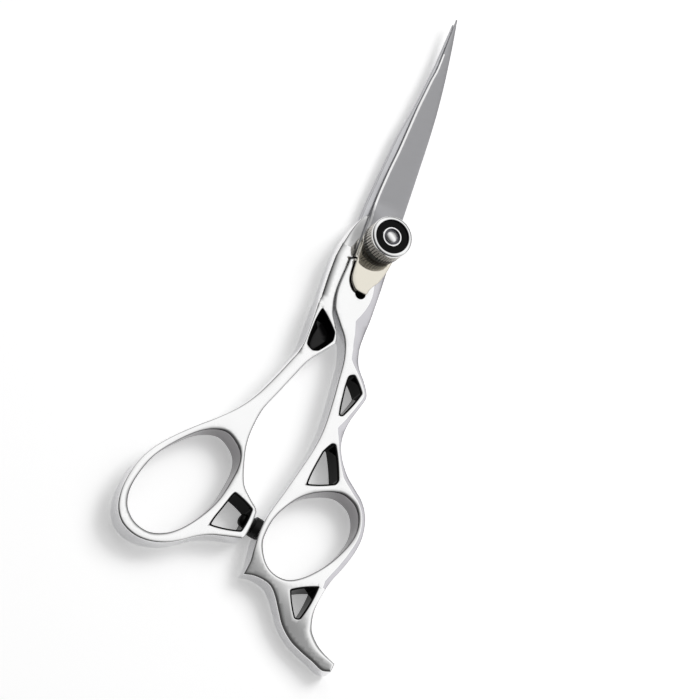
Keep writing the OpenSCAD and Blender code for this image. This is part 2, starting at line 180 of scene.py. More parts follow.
class Rim:
    """One closed rim of a slab. shape(xy) gives the reach inwards and the height of its rounding at
    the top, and the same at the bottom. Stretches where keep(xy) is false stay square."""

    def __init__(self, points, shape, keep=None, profile="round"):
        self.points = points
        self.shape = shape
        self.keep = keep
        self.profile = profile
        ends = np.roll(points, -1, axis=0)
        used = np.ones(len(points), bool) if keep is None else keep((points + ends) / 2)
        self.starts, self.ends = points[used], ends[used]
        self.room = np.full(len(self.starts), AMPLE)

    def leave_room(self, others):
        """Keeps the rounding short of the middle of a thin wall between this rim and others."""
        for at, start in enumerate(self.starts):
            for other in others:
                gap = np.sqrt(np.min(np.sum((other.points - start) ** 2, axis=1)))
                self.room[at] = min(self.room[at], THIN_WALL_SHARE * gap)

    def form(self, xy, which):
        """Distance from each point to the shaped stretches, and the rounding's reach and height there."""
        distance, foot, room = self.nearest(xy)
        shape = self.shape(foot)
        share = np.minimum(1, room / np.maximum(shape[which], 1e-6))
        return distance, shape[which] * share, shape[which + 1] * share

    def nearest(self, xy):
        """Distance from each point to the shaped stretches, the nearest point on them and its room."""
        along = self.ends - self.starts
        length2 = np.sum(along**2, axis=1)
        distance, foot, room = np.empty(len(xy)), np.empty_like(xy), np.empty(len(xy))
        for at in range(0, len(xy), BATCH):
            q = xy[at:at + BATCH, None, :]
            t = np.clip(np.sum((q - self.starts) * along, axis=2) / length2, 0, 1)
            on = self.starts + t[:, :, None] * along
            d2 = np.sum((q - on) ** 2, axis=2)
            best = np.argmin(d2, axis=1)
            rows = np.arange(len(best))
            distance[at:at + BATCH] = np.sqrt(d2[rows, best])
            foot[at:at + BATCH] = on[rows, best]
            room[at:at + BATCH] = self.room[best]
        return distance, foot, room


def rounding(u):
    """How much of its height a round rim has left at u of its reach."""
    u = np.clip(u, 0, 1)
    return 1 - np.sqrt(1 - (1 - u) ** 2)


def grinding(u):
    """The same for a cutting edge: a steep side, then a narrow honed land."""
    return np.interp(u, [0, 0.22, 1], [1, -0.12, 0])


def dishing(u):
    """The same for a bowl, which is steep at its wall and runs out into a flat floor."""
    return np.sqrt(1 - (1 - np.clip(u, 0, 1)) ** 2)


# Each profile with the shares of its reach at which a row of vertices follows the rim.
ROUND_LEVELS = 1 - np.cos(np.radians([12, 24, 37, 50, 65, 90]))
GROUND_LEVELS = np.array([0.22, 0.6, 1.0])
PROFILES = {
    "round": (rounding, ROUND_LEVELS),
    "ground": (grinding, GROUND_LEVELS),
    "bowl": (dishing, ROUND_LEVELS),
}


def even(reach_top, drop_top, reach_bottom, drop_bottom):
    """A rim shape that is the same all the way round."""
    def shape(xy):
        one = np.ones(len(xy))
        return reach_top * one, drop_top * one, reach_bottom * one, drop_bottom * one
    return shape


SQUARE = even(0, 0, 0, 0)


def flat(height):
    """A level face at a height."""
    return lambda xy: np.full(len(xy), float(height))


def inward(p):
    """The mitred normal into the material at each point of a rim."""
    u0, u1 = unit(p - np.roll(p, 1, axis=0)), unit(np.roll(p, -1, axis=0) - p)
    n0, n1 = np.stack([-u0[:, 1], u0[:, 0]], 1), np.stack([-u1[:, 1], u1[:, 0]], 1)
    return (n0 + n1) / np.maximum(1 + np.sum(n0 * n1, axis=1), 0.35)[:, None]


def even_odd(xy, loops):
    """Whether each point is inside an odd number of loops."""
    inside = np.zeros(len(xy), bool)
    for p in loops:
        q = np.roll(p, -1, axis=0)
        for at in range(0, len(xy), BATCH):
            x, y = xy[at:at + BATCH, 0:1], xy[at:at + BATCH, 1:2]
            spans = (p[:, 1] > y) != (q[:, 1] > y)
            rise = np.where(q[:, 1] == p[:, 1], 1, q[:, 1] - p[:, 1])
            cut = p[:, 0] + (y - p[:, 1]) * (q[:, 0] - p[:, 0]) / rise
            inside[at:at + BATCH] ^= (np.sum(spans & (x < cut), axis=1) % 2).astype(bool)
    return inside


def off_rims(rim_list, which, points, margin):
    """Whether each point is past every rim's rounding by a margin."""
    ok = np.ones(len(points), bool)
    for rim in rim_list:
        distance, reach, _ = rim.form(points, which)
        ok &= distance > reach + margin
    return ok


def on_rows(rim_list, which, points):
    """Whether each point is on a row of every rim whose rounding it lies in. A row's point that
    comes too near another stretch of a rim isn't."""
    ok = np.ones(len(points), bool)
    for rim in rim_list:
        distance, reach, _ = rim.form(points, which)
        _, levels = PROFILES[rim.profile]
        off = np.min(np.abs(reach[:, None] * levels - distance[:, None]), axis=1)
        ok &= (off < 0.02 * reach + 0.004) | (distance > reach * 1.05 + 0.02)
    return ok


def rim_rows(rim_list, which):
    """Rows of points that follow each rim inwards, at the levels of its profile."""
    rows = []
    for rim in rim_list:
        _, levels = PROFILES[rim.profile]
        _, reach, _ = rim.form(rim.points, which)
        normal = inward(rim.points)
        used = np.ones(len(rim.points), bool) if rim.keep is None else rim.keep(rim.points)
        for share in levels:
            rows.append((rim.points + normal * (reach * share)[:, None])[used & (reach > 0)])
    return np.concatenate(rows)


def triangular_grid(low, high, grid):
    """Points about a grid apart between two corners, every other row moved half a step."""
    gx, gy = np.meshgrid(np.arange(low[0], high[0], grid), np.arange(low[1], high[1], grid * 0.87))
    gx = gx + (np.arange(gx.shape[0]) % 2)[:, None] * grid / 2
    return np.stack([gx.ravel(), gy.ravel()], 1)


def skin(rim_list, level, which, grid):
    """Triangles of one face of a slab. Its height is level(xy) less each rim's rounding for the top,
    or plus it for the bottom. The rims' own points come first."""
    loops = [r.points for r in rim_list]
    border = np.concatenate(loops)
    rows = rim_rows(rim_list, which)
    rows = rows[even_odd(rows, loops)]
    rows = rows[on_rows(rim_list, which, rows)]
    field = triangular_grid(border.min(axis=0), border.max(axis=0), grid)
    field = field[even_odd(field, loops)]
    field = field[off_rims(rim_list, which, field, 0.45 * grid)]
    points = np.concatenate([border, rows, field])
    edges, at = [], 0
    for p in loops:
        edges += [(at + i, at + (i + 1) % len(p)) for i in range(len(p))]
        at += len(p)
    verts, _, faces, origin, _, _ = delaunay_2d_cdt([Vector(q) for q in points], edges, [], 1, 1e-5)
    xy = np.array([v[:] for v in verts])
    where = {}
    for i, sources in enumerate(origin):
        for source in sources:
            where[source] = i
    ring = [where[i] for i in range(len(border))]
    faces = np.array([f[:] for f in faces])
    faces = faces[even_odd(xy[faces].mean(axis=1), loops)]
    sign = -1 if which == TOP else 1
    height = level(xy)
    for rim in rim_list:
        fall, _ = PROFILES[rim.profile]
        distance, reach, drop = rim.form(xy, which)
        height = height + sign * drop * fall(distance / np.maximum(reach, 1e-6))
    return xy, height, faces, ring


def slab(name, rim_list, top, bottom, grid=1.0, pockets=()):
    """A solid between two level functions, with shaped rims. A pocket is a rim and its floor's height."""
    upper_rims = rim_list + [rim for rim, _ in pockets]
    for rim in upper_rims:
        rim.leave_room([other for other in upper_rims if other is not rim])
    txy, tz, tfaces, tring = skin(upper_rims, top, TOP, grid)
    bxy, bz, bfaces, bring = skin(rim_list, bottom, BOTTOM, grid)
    parts = [np.column_stack([txy, tz]), np.column_stack([bxy, bz])]
    faces = [tuple(f) for f in upward(txy, tfaces)]
    faces += [tuple(f[::-1] + len(txy)) for f in upward(bxy, bfaces)]
    at, base = 0, len(txy)
    for rim in rim_list:
        n = len(rim.points)
        faces += wall(tring[at:at + n], [i + base for i in bring[at:at + n]])
        at += n
    base += len(bxy)
    for rim, floor_z in pockets:
        n = len(rim.points)
        fxy, _, ffaces, fring = skin([Rim(turn(rim.points, True), SQUARE)], flat(0), TOP, grid)
        order = fring[::-1]
        parts.append(np.column_stack([fxy, np.full(len(fxy), floor_z)]))
        faces += [tuple(f + base) for f in upward(fxy, ffaces)]
        faces += wall(tring[at:at + n], [i + base for i in order])
        at += n
        base += len(fxy)
    return mesh_object(name, np.concatenate(parts), faces)


def wall(upper, lower):
    """Faces between two rings of the same points, the material being on the left of the upper one."""
    n = len(upper)
    return [(upper[i], lower[i], lower[(i + 1) % n], upper[(i + 1) % n]) for i in range(n)]


def through_and_blind(node):
    """A handle's outline and through holes, and its blind pockets, as smooth closed curves."""
    upper = [refine(p) for p in rims(node, HANDLE_TOP)]
    lower = [p.mean(axis=0) for p in rims(node, 0)]
    same_hole = 3
    is_blind = [
        min(np.linalg.norm(p.mean(axis=0) - q) for q in lower[1:]) > same_hole for p in upper[1:]
    ]
    holes = [p for p, blind in zip(upper[1:], is_blind) if not blind]
    return upper[0], holes, [p for p, blind in zip(upper[1:], is_blind) if blind]


def upward(xy, faces):
    """The same triangles, all facing up."""
    a, b, c = xy[faces[:, 0]], xy[faces[:, 1]], xy[faces[:, 2]]
    flip = (b[:, 0] - a[:, 0]) * (c[:, 1] - a[:, 1]) - (b[:, 1] - a[:, 1]) * (c[:, 0] - a[:, 0]) < 0
    faces = faces.copy()
    faces[flip] = faces[flip][:, ::-1]
    return faces


def mesh_object(name, verts, faces):
    """An object of vertices in millimetres, smooth but for its sharp edges."""
    mesh = bpy.data.meshes.new(name)
    mesh.from_pydata((np.asarray(verts) * MM).tolist(), [], [tuple(int(i) for i in f) for f in faces])
    mesh.validate()
    mesh.update()
    mesh.shade_smooth()
    mesh.set_sharp_from_angle(angle=math.radians(SHARP_DEG))
    piece = bpy.data.objects.new(name, mesh)
    bpy.context.scene.collection.objects.link(piece)
    weighted = piece.modifiers.new("normals", "WEIGHTED_NORMAL")
    weighted.keep_sharp = True
    weighted.weight = 60
    return piece


def lathe(name, profile, segments, wave=None):
    """Turns a profile of (radius, height) points about a vertical axis. wave(angle, r, z) moves the
    radius, for knurls."""
    verts, faces = [], []
    for k in range(segments):
        a = 2 * math.pi * k / segments
        for r, z in profile:
            q = r if wave is None else wave(a, r, z)
            verts.append((q * math.cos(a), q * math.sin(a), z))
    n = len(profile)
    for k in range(segments):
        for i in range(n - 1):
            a, b = k * n + i, (k + 1) % segments * n + i
            faces.append((a, b, b + 1, a + 1))
    piece = mesh_object(name, verts, faces)
    weld(piece)
    return piece


def weld(piece):
    """Closes the axis of a turned piece."""
    bm = bmesh.new()
    bm.from_mesh(piece.data)
    bmesh.ops.remove_doubles(bm, verts=bm.verts, dist=1e-7)
    bmesh.ops.dissolve_degenerate(bm, edges=bm.edges, dist=1e-8)
    bmesh.ops.recalc_face_normals(bm, faces=bm.faces)
    bm.to_mesh(piece.data)
    bm.free()
    piece.data.shade_smooth()
    piece.data.set_sharp_from_angle(angle=math.radians(SHARP_DEG))


def place(piece, body, slot, material, *nodes):
    """Gives a piece its body and material, and hides the CAD nodes that it stands for; its slot is not
    used.
    """
    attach(piece, body)
    if nodes:
        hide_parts(*nodes)
    piece.data.materials.clear()
    piece.data.materials.append(material)
    return piece


def smoothstep(x, low, high):
    """0 up to low, 1 from high, and a smooth rise between them."""
    t = np.clip((x - low) / (high - low), 0, 1)
    return t * t * (3 - 2 * t)


def blend(low_value, high_value, t):
    return low_value + (high_value - low_value) * t


# ---- Materials ----

def new_material(name, base, metallic, roughness):
    """A material with its node tree and shader."""
    mat = bpy.data.materials.new(name)
    mat.use_nodes = True
    shader = mat.node_tree.nodes["Principled BSDF"]
    shader.inputs["Base Color"].default_value = (*base, 1)
    shader.inputs["Metallic"].default_value = metallic
    shader.inputs["Roughness"].default_value = roughness
    return mat, mat.node_tree, shader


def object_coords(tree, scale=(1, 1, 1), rotation_deg=0):
    """Coordinates fixed to the object, scaled for a stretched grain."""
    coords = tree.nodes.new("ShaderNodeTexCoord")
    mapping = tree.nodes.new("ShaderNodeMapping")
    mapping.inputs["Scale"].default_value = scale
    mapping.inputs["Rotation"].default_value = (0, 0, math.radians(rotation_deg))
    tree.links.new(coords.outputs["Object"], mapping.inputs["Vector"])
    return mapping.outputs["Vector"]


def noise(tree, vector, scale, detail=3.0, rough=0.5):
    """A cloudy value from 0 to 1."""
    node = tree.nodes.new("ShaderNodeTexNoise")
    node.inputs["Scale"].default_value = scale
    node.inputs["Detail"].default_value = detail
    node.inputs["Roughness"].default_value = rough
    tree.links.new(vector, node.inputs["Vector"])
    return node.outputs["Fac"]


def ramp(tree, value, stops):
    """A grey that goes from one stop of (value, level) to another."""
    node = tree.nodes.new("ShaderNodeValToRGB")
    node.color_ramp.elements[0].position = stops[0][0]
    node.color_ramp.elements[0].color = (*[stops[0][1]] * 3, 1)
    node.color_ramp.elements[1].position = stops[1][0]
    node.color_ramp.elements[1].color = (*[stops[1][1]] * 3, 1)
    tree.links.new(value, node.inputs["Fac"])
    return node.outputs["Color"]


def bump(tree, normal, height, strength, distance):
    """Feeds a normal socket with a bump, and gives the bump's own normal socket."""
    node = tree.nodes.new("ShaderNodeBump")
    node.inputs["Strength"].default_value = strength
    node.inputs["Distance"].default_value = distance
    tree.links.new(height, node.inputs["Height"])
    tree.links.new(node.outputs["Normal"], normal)
    return node.inputs["Normal"]


def polished_steel(name, base, rough, swell_height):
    """Buffed steel: a near mirror with fine hairlines, faint cloudiness and a slight swell."""
    mat, tree, shader = new_material(name, base, 1.0, rough[0])
    hair = noise(tree, object_coords(tree, (6000, 350, 6000), 20), 1.0, 2.0)
    swell = noise(tree, object_coords(tree), 70.0, 1.0)
    cloud = noise(tree, object_coords(tree), 160.0, 3.0)
    tree.links.new(ramp(tree, cloud, [(0.3, rough[0]), (0.75, rough[1])]), shader.inputs["Roughness"])
    beneath = bump(tree, shader.inputs["Normal"], hair, 0.05, 0.00002)
    bump(tree, beneath, swell, 1.0, swell_height)
    return mat


def satin_steel():
    """Ground steel: fine lines across the blade."""
    mat, tree, shader = new_material("satin_steel", (0.45, 0.45, 0.465), 1.0, 0.3)
    across = noise(tree, object_coords(tree, (250, 9000, 250), -12), 1.0, 3.0, 0.6)
    tree.links.new(ramp(tree, across, [(0.2, 0.26), (0.8, 0.4)]), shader.inputs["Roughness"])
    bump(tree, shader.inputs["Normal"], across, 0.25, 0.00002)
    return mat


def lacquer(name, rough, shine):
    """Glossy black lacquer with a faint orange-peel ripple."""
    mat, tree, shader = new_material(name, (0.003, 0.003, 0.003), 0.0, rough)
    shader.inputs["Specular IOR Level"].default_value = shine
    peel = noise(tree, object_coords(tree), 900.0, 2.0)
    bump(tree, shader.inputs["Normal"], peel, 0.12, 0.00005)
    return mat


def rubber():
    """Matt black rubber with a fine grain."""
    mat, tree, shader = new_material("rubber", (0.006, 0.006, 0.006), 0.0, 0.5)
    shader.inputs["Specular IOR Level"].default_value = 0.25
    grain = noise(tree, object_coords(tree), 2600.0, 4.0)
    tree.links.new(ramp(tree, grain, [(0.3, 0.38), (0.7, 0.62)]), shader.inputs["Roughness"])
    bump(tree, shader.inputs["Normal"], grain, 0.3, 0.00005)
    return mat


def plain(name, base, metallic, roughness):
    """Small hidden pieces: even, with a little mottle."""
    mat, tree, shader = new_material(name, base, metallic, roughness)
    mottle = noise(tree, object_coords(tree), 700.0, 3.0)
    tree.links.new(
        ramp(tree, mottle, [(0.3, roughness * 0.8), (0.7, min(1.0, roughness * 1.25))]),
        shader.inputs["Roughness"],
    )
    bump(tree, shader.inputs["Normal"], mottle, 0.08, 0.00003)
    return mat


STEEL = polished_steel("polished_steel", (0.86, 0.86, 0.86), (0.05, 0.13), 0.0002)
# Darker steels for the handles' upright walls and for the ring holes' walls: painted shade.
WALL_SHADE_STEEL = polished_steel("wall_painted_shade", (0.78, 0.78, 0.79), (0.16, 0.3), 0.0002)
HOLE_WALL_SHADE_STEEL = polished_steel("hole_wall_painted_shade", (0.4, 0.39, 0.4), (0.12, 0.3), 0.0015)
BLADE_FLAT = polished_steel("blade_flat", (0.56, 0.56, 0.58), (0.2, 0.3), 0.0001)
# A darker steel on the finger side's flank: painted shade.
FLANK_SHADE_STEEL = polished_steel("flank_painted_shade", (0.62, 0.61, 0.64), (0.16, 0.26), 0.0001)
WASHER_STEEL = polished_steel("washer_steel", (0.72, 0.685, 0.6), (0.03, 0.08), 0.0001)
SATIN = satin_steel()
# Black lacquer for the windows' linings; on the slot's lining it is painted shade.
LACQUER_AND_SLOT_SHADE = lacquer("black_lacquer", 0.08, 0.04)
POCKET_LACQUER = lacquer("pocket_lacquer", 0.05, 0.25)
ENAMEL = lacquer("knob_enamel", 0.12, 0.07)
KNURL = plain("knurled_steel", (0.75, 0.72, 0.67), 0.3, 0.4)
# Dark steel on the barrel's lower side and in its flutes: painted shade.
KNURL_SHADE = plain("knurl_painted_shade", (0.2, 0.19, 0.18), 0.5, 0.4)
RUBBER = rubber()
# Dark steel for the spring parts, and painted shade on the steep side of the upper blade's cutting edge.
SPRING_STEEL_AND_EDGE_SHADE = plain("spring_steel", (0.3, 0.3, 0.31), 1.0, 0.35)
BRASS = plain("brass", (0.78, 0.6, 0.3), 1.0, 0.3)
NYLON = plain("nylon", (0.8, 0.8, 0.77), 0.0, 0.5)
# A near-black steel in the knob's recess: painted shade.
RECESS_SHADE = plain("dark_recess", (0.1, 0.1, 0.115), 0.8, 0.3)


# ---- Finger half ----

WINDOW_EDGE = even(0.28, 0.28, 0.28, 0.28)
RING_HOLE_EDGE = even(1.05, 0.7, 0.9, 0.8)


def side_of(line, xy):
    """Signed distance from each point to an open line: positive to the left of its direction."""
    starts, along = line[:-1], np.diff(line, axis=0)
    q = xy[:, None, :] - starts
    t = np.clip(np.sum(q * along, axis=2) / np.sum(along**2, axis=1), 0, 1)
    off = q - t[:, :, None] * along
    best = np.argmin(np.sum(off**2, axis=2), axis=1)
    rows = np.arange(len(xy))
    cross = along[best, 0] * q[rows, best, 1] - along[best, 1] * q[rows, best, 0]
    return np.sign(cross) * np.linalg.norm(off[rows, best], axis=1)


# Runs down the middle of the finger half, so that its left side is the finger side.
FINGER_MIDDLE = np.array([
    [0, 6], [1.5, -30], [4.5, -55], [4, -70], [8, -92], [9, -100], [11, -107], [14, -111.5],
    [18, -114.7], [22.5, -116.8], [28, -117.6],
])


# The shank's flank on the finger side: its width at places along it, and its share of fall.
FLANK_WIDTH = np.array([[-45, 2.4], [-31, 1.8], [-27, 2.6], [-22, 4.4]])
FLANK_SLOPE = 0.12
FLANK_END_Y = -98  # its painted shade ends here, where the tang begins
FLANK_DEPTH = 1.5  # how far below the top its painted shade can reach
RING_WALL_WIDTH = 1.2  # the flank's width at the ring


def finger_outline_shape(xy):
    """Broad soft flanks on the finger side, a crisp edge on the thumb side."""
    x, y = xy[:, 0], xy[:, 1]
    right = smoothstep(side_of(FINGER_MIDDLE, xy), -0.6, 0.6)
    narrow = smoothstep(-y, 58, 66) * (1 - smoothstep(-y, 95, 102))
    tang = smoothstep(-y, 100, 107)
    finish = smoothstep(x, 19, 26)
    side = blend(np.interp(y, *FLANK_WIDTH.T), RING_WALL_WIDTH, narrow)
    flank = blend(side, blend(2.2, 0.9, finish), tang)
    fall = blend(FLANK_SLOPE * flank, blend(1.2, 0.7, finish), tang)
    reach = blend(blend(0.5, 0.7, tang), flank, right)
    drop = blend(blend(0.35, 0.5, tang), fall, right)
    return reach, drop, blend(0.7, blend(1.2, 0.7, narrow), right), blend(0.9, 1.8, right)


TANG_FALL_FROM = 83.5
TANG_SLOPE = 0.27
TANG_BEND = 9  # squared width of the bend into the slope


def finger_top(xy):
    """The upper face, which falls away towards the left edge of the tang."""
    beyond = -(xy @ PLAN_UP) - TANG_FALL_FROM
    return HANDLE_TOP - TANG_SLOPE * (beyond + np.sqrt(beyond**2 + TANG_BEND)) / 2


# The step at the shank's upper end stays square, because the upper blade's lobe turns against it.
STEP_Y, STEP_LEFT, STEP_RIGHT = -8.2, -6.75, 3.95


def off_step(xy):
    """Whether a point of the shank's outline is away from the step."""
    x, y = xy[:, 0], xy[:, 1]
    return ~((y > STEP_Y) & (x > STEP_LEFT) & (x < STEP_RIGHT))


def hole_rims(holes):
    """A handle's through holes: the large one for a finger is rounder than the windows."""
    return [Rim(p, RING_HOLE_EDGE if abs(area(p)) > RING_AREA else WINDOW_EDGE) for p in holes]


def finger_handle():
    outline, holes, blind = through_and_blind("finger_handle")
    rim_list = [Rim(outline, finger_outline_shape, off_step)] + hole_rims(holes)
    # The blind slot beside the washer is lined in black (slot_lining): painted shade of its gap.
    pockets = [(Rim(p, even(0.1, 0.1, 0, 0)), SLOT_FLOOR) for p in blind]
    piece = slab("finger_handle_skin", rim_list, finger_top, flat(0), 0.8, pockets)
    place(piece, "finger_half", "polished_steel", STEEL, "finger_handle")
    paint_wall_shade(piece, holes)

    # The flank's faces on the finger side get the darker steel: painted shade.
    def on_shaded_flank(xy, z):
        distance, reach, _ = rim_list[0].form(xy, TOP)
        foot = rim_list[0].nearest(xy)[1]
        upper = (distance < 0.97 * reach) & (z > HANDLE_TOP - FLANK_DEPTH)
        return upper & (side_of(FINGER_MIDDLE, foot) > 0) & (xy[:, 1] > FLANK_END_Y)

    repaint(piece, FLANK_SHADE_STEEL, on_shaded_flank)


def blade_rise(y, thickness):
    """How much a blade has thinned at y."""
    return (thickness - TIP_T) * np.clip((y - TAPER_FROM) / (BLADE_LEN - TAPER_FROM), 0, 1)


def finger_blade():
    """The lower blade: a flat ride face, ground and tapered on its outer side."""
    outline = refine(rims("finger_blade", LOWER_TOP)[0], 0.8)
    keep = lambda xy: xy[:, 1] > -3
    bottom = lambda xy: 0.05 + blade_rise(xy[:, 1], LOWER_TOP)
    rim = Rim(outline, even(0.15, 0.12, 0.7, 0.7), keep)
    piece = slab("finger_blade_skin", [rim], flat(LOWER_TOP), bottom, 1.4)
    place(piece, "finger_half", "satin_steel", BLADE_FLAT, "finger_blade")


# ---- Thumb half ----

# Where the thumb shank's bar meets the blade's face, from the choil down to the shanks' seam.
CREASE = np.array([[-5.02, CHOIL_Y - 0.1], [-5.15, 5], [-5.6, 0], [-6.05, -4], [-6.25, -6.9]])

# The middle of the thumb shank's bar, as places (along, across).
BAR_MIDDLE = np.array([
    [-61, -19.6], [-55.6, -17.3], [-48.8, -14.3], [-41, -11.1], [-36, -8.8], [-30, -7.5],
    [-24, -8.8], [-9, -9.2],
])


def crease_x(y):
    """How far across the crease lies at places along it."""
    return np.interp(y, CREASE[::-1, 1], CREASE[::-1, 0])


def thumb_outline_shape(xy):
    """A bar that is rounded on its outer side and bevelled on its inner side, and crisp at the ring."""
    x, y = xy[:, 0], xy[:, 1]
    outer = smoothstep(np.interp(y, *BAR_MIDDLE.T) - x, -0.4, 0.4)
    shank = smoothstep(y, -66, -52)
    beside_pocket = smoothstep(y, -40, -37) * (1 - smoothstep(y, -23, -20))
    bar = smoothstep(y, -36, -26)
    reach = blend(blend(1.1, 0.4, bar), blend(1.5, 2.0, bar), outer)
    drop = blend(blend(0.5, 0.35, bar), blend(1.7, 2.4, bar), outer)
    reach, drop = blend(0.65, reach, shank), blend(0.45, drop, shank)
    unlimited = 9
    reach = np.minimum(reach, blend(unlimited, 0.7, beside_pocket))
    drop = np.minimum(drop, blend(unlimited, 0.8, beside_pocket))
    return reach, drop, blend(0.8, 1.6, shank * outer), blend(1.2, 2.2, shank * outer)


def thumb_handle():
    outline = rims("thumb_handle", 0)[0]
    corner = int(np.argmin(np.linalg.norm(outline - (SEAM_X, NECK_Y), axis=1)))
    to_crease = [[SEAM_X, LOBE_END_Y], CREASE[-1], [crease_x(NECK_Y), NECK_Y]]
    outline = refine(np.concatenate([outline[:corner], to_crease, outline[corner + 1:]]))
    _, holes, blind = through_and_blind("thumb_handle")
    keep = lambda xy: xy[:, 1] < NECK_Y - 0.02
    rim_list = [Rim(outline, thumb_outline_shape, keep)] + hole_rims(holes)
    pockets = [(Rim(p, even(0.25, 0.25, 0, 0)), POCKET_FLOOR) for p in blind]
    piece = slab("thumb_handle_skin", rim_list, flat(HANDLE_TOP), flat(0), 1.0, pockets)
    place(piece, "thumb_half", "polished_steel", STEEL, "thumb_handle")
    paint_wall_shade(piece, holes)


def neck_top(xy):
    """The bar's upper end slopes down to the lower blade's face."""
    return blend(HANDLE_TOP, LOWER_TOP + 0.35, smoothstep(xy[:, 1], -7, 9))


def neck_shape(xy):
    """Rounded on the outer side, and nearly square along the crease."""
    left = xy[:, 0] < crease_x(xy[:, 1]) - 0.05
    narrow = smoothstep(xy[:, 1], -4, CHOIL_Y - 0.1)
    reach = np.where(left, blend(2.0, 0.5, narrow), 0.3)
    drop = np.where(left, blend(2.2, 0.2, narrow), 0.1)
    return reach, drop, 0.1 + 0 * reach, 0.05 + 0 * reach


def thumb_neck():
    """The bar's upper end, which lies over the lower blade and runs out at the choil."""
    rim = rims("thumb_blade", UPPER_BOTTOM)[0]
    left = rim[(rim[:, 0] < -5.6) & (rim[:, 1] > NECK_Y) & (rim[:, 1] < CHOIL_Y + 0.1)]
    left = left[np.argsort(-left[:, 1])]
    foot = [[np.interp(NECK_Y, left[::-1, 1], left[::-1, 0]), NECK_Y]]
    right = CREASE[::-1]
    right = right[right[:, 1] > NECK_Y]
    start = [[crease_x(NECK_Y), NECK_Y]]
    outline = refine(turn(np.concatenate([left, foot, start, right]), True), 0.4)
    keep = lambda xy: xy[:, 1] > NECK_Y + 0.02
    piece = slab(
        "thumb_neck_skin", [Rim(outline, neck_shape, keep)], neck_top, flat(UPPER_BOTTOM), 0.7
    )
    place(piece, "thumb_half", "polished_steel", STEEL)


def upper_face(xy):
    """The outer face of the upper blade: it falls towards the tip and a little towards the edge."""
    x, y = xy[:, 0], xy[:, 1]
    fall = 0.27 * np.clip(3.2 - x, 0, 9) * smoothstep(y, 1, 12)
    return UPPER_TOP - 0.02 - fall - blade_rise(y, UPPER_TOP - UPPER_BOTTOM)


# The upper blade's middle, and how far its cutting edge stands out from the CAD outline, as
# places (along, across).
BLADE_MIDDLE = np.array([
    [-8, -3.3], [8.6, -0.7], [22, -0.1], [40.5, 0.7], [57, 1.1], [64, 0.75], [71, 0.35],
])
EDGE_OUT = np.array([
    [CHOIL_Y, 0.1], [15, 0.4], [29, 0.45], [43, 0.65], [57, 0.5], [64, 0.3], [71, 0],
])
LAND_END_Y = 60  # the polished land along the edge ends here, short of the point


def is_edge(xy):
    """Whether a point of the upper blade's outline is on its cutting edge, or on the crease below it."""
    y = xy[:, 1]
    return (xy[:, 0] < np.interp(y, *BLADE_MIDDLE.T)) & (y > LOBE_END_Y + 0.1)


def thumb_blade_shape(xy):
    """The edge's bevel reaches down almost to the ride face; elsewhere a small rounding."""
    edge = is_edge(xy)
    depth = upper_face(xy) - UPPER_BOTTOM - 0.12
    depth = blend(0.6, depth, smoothstep(xy[:, 1], 6.5, 11))
    reach = np.where(edge, blend(0.72, 0.4, smoothstep(xy[:, 1], 45, 66)), 0.3)
    drop = np.where(edge, depth, 0.3)
    return reach, drop, 0.1 + 0 * reach, 0.05 + 0 * reach


def thumb_blade_outline():
    """The CAD outline down to the choil and then the crease, with the cutting edge moved out."""
    rim = rims("thumb_blade", UPPER_BOTTOM)[0]
    x, y = rim[:, 0], rim[:, 1]
    keep_point = (y > CHOIL_Y) | ((x > crease_x(y) + 0.02) & (y > LOBE_END_Y - 0.1))
    order = np.roll(np.arange(len(rim)), -int(np.argmax(y)))
    body = rim[order][keep_point[order]]
    cut = next(i for i in range(len(body) - 1) if body[i, 1] > CHOIL_Y and body[i + 1, 1] < 0)
    outline = np.concatenate([body[:cut + 1], CREASE, body[cut + 1:]])
    out = np.interp(outline[:, 1], *EDGE_OUT.T)
    outline[:, 0] -= np.where(is_edge(outline) & (outline[:, 1] > CHOIL_Y), out, 0)
    return refine(turn(outline, True), 0.5)


def thumb_blade():
    outline = thumb_blade_outline()
    shaped = lambda xy: is_edge(xy) | (xy[:, 1] > 3)
    rim = Rim(outline, thumb_blade_shape, shaped, "ground")
    piece = slab("thumb_blade_skin", [rim], upper_face, flat(UPPER_BOTTOM), 1.2)
    place(piece, "thumb_half", "satin_steel", SATIN, "thumb_blade")
    edge = Rim(outline, thumb_blade_shape, is_edge)

    def on_bevel(xy, z, share):
        distance, foot, _ = edge.nearest(xy)
        return (distance < share * thumb_blade_shape(foot)[0]) & (z > UPPER_BOTTOM + 0.2)

    repaint(piece, STEEL, lambda xy, z: on_bevel(xy, z, 1) & (xy[:, 1] < LAND_END_Y))
    # The steep side of the cutting edge gets the dark steel: painted shade along the gap at the edge.
    repaint(piece, SPRING_STEEL_AND_EDGE_SHADE, lambda xy, z: on_bevel(xy, z, 0.21))


def paint_wall_shade(piece, holes):
    """Paints the upright walls of a handle a darker steel, and the ring holes' walls darker still: painted
    shade.
    """
    rings = [rim for rim in hole_rims(holes) if rim.shape is RING_HOLE_EDGE]
    piece.data.materials.append(WALL_SHADE_STEEL)
    piece.data.materials.append(HOLE_WALL_SHADE_STEEL)
    wall_slot, hole_wall_slot = 1, 2
    middles = np.array([face.center[:2] for face in piece.data.polygons]) / MM
    in_ring = np.min([ring.nearest(middles)[0] for ring in rings], axis=0) < 0.8
    for face, ringed in zip(piece.data.polygons, in_ring):
        if ringed and abs(face.normal.z) < 0.75:
            face.material_index = hole_wall_slot
        elif abs(face.normal.z) < 0.3:
            face.material_index = wall_slot


